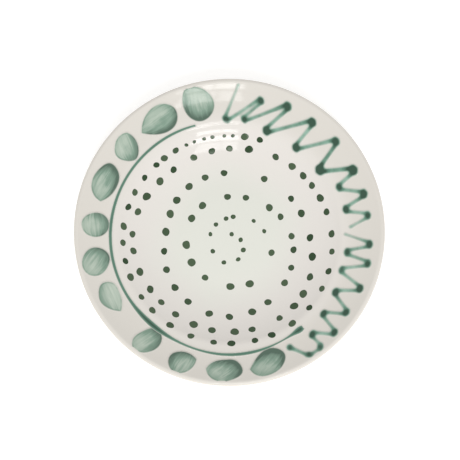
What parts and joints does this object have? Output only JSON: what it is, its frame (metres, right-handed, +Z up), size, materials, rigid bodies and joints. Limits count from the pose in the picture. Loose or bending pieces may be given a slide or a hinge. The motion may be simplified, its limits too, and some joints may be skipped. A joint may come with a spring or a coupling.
{
  "type": "painted ceramic plate",
  "caption": "Round deep dinner plate in glazed ceramic, with a wide rim, a foot ring and hand painted green dots, petals and zigzag.",
  "frame": {"origin": "centre of the foot ring, on the surface that the plate rests on", "axes": "+Z up along the plate's axis; -Y is the side of the motif that faces the person at the plate"},
  "size_m": [0.27, 0.27, 0.04],
  "materials": {
    "bare_clay": "bare fired clay, matt, where the glaze is wiped off the foot",
    "clear_glaze": "glossy warm white glaze",
    "dot_green": "dense dark green colour under a gloss",
    "petal_wash": "thin streaky green wash under a gloss",
    "stroke_teal": "wet teal brush stroke with soft edges, under a gloss",
    "line_green": "thin grey green brush line under a gloss"
  },
  "bodies": {
    "root": {"clay_body": "bare_clay", "glaze_coat": "clear_glaze", "recess_glaze": "clear_glaze", "dots_turn_1": "dot_green", "dots_turn_2": "dot_green", "dots_turn_3": "dot_green", "dots_turn_4": "dot_green", "dots_turn_5": "dot_green", "petal_01": "petal_wash", "petal_02": "petal_wash", "petal_03": "petal_wash", "petal_04": "petal_wash", "petal_05": "petal_wash", "petal_06": "petal_wash", "petal_07": "petal_wash", "petal_08": "petal_wash", "petal_09": "petal_wash", "petal_10": "petal_wash", "petal_11": "petal_wash", "zigzag_upper": "stroke_teal", "zigzag_lower": "stroke_teal", "shoulder_line": "line_green"}
  },
  "joints": []
}
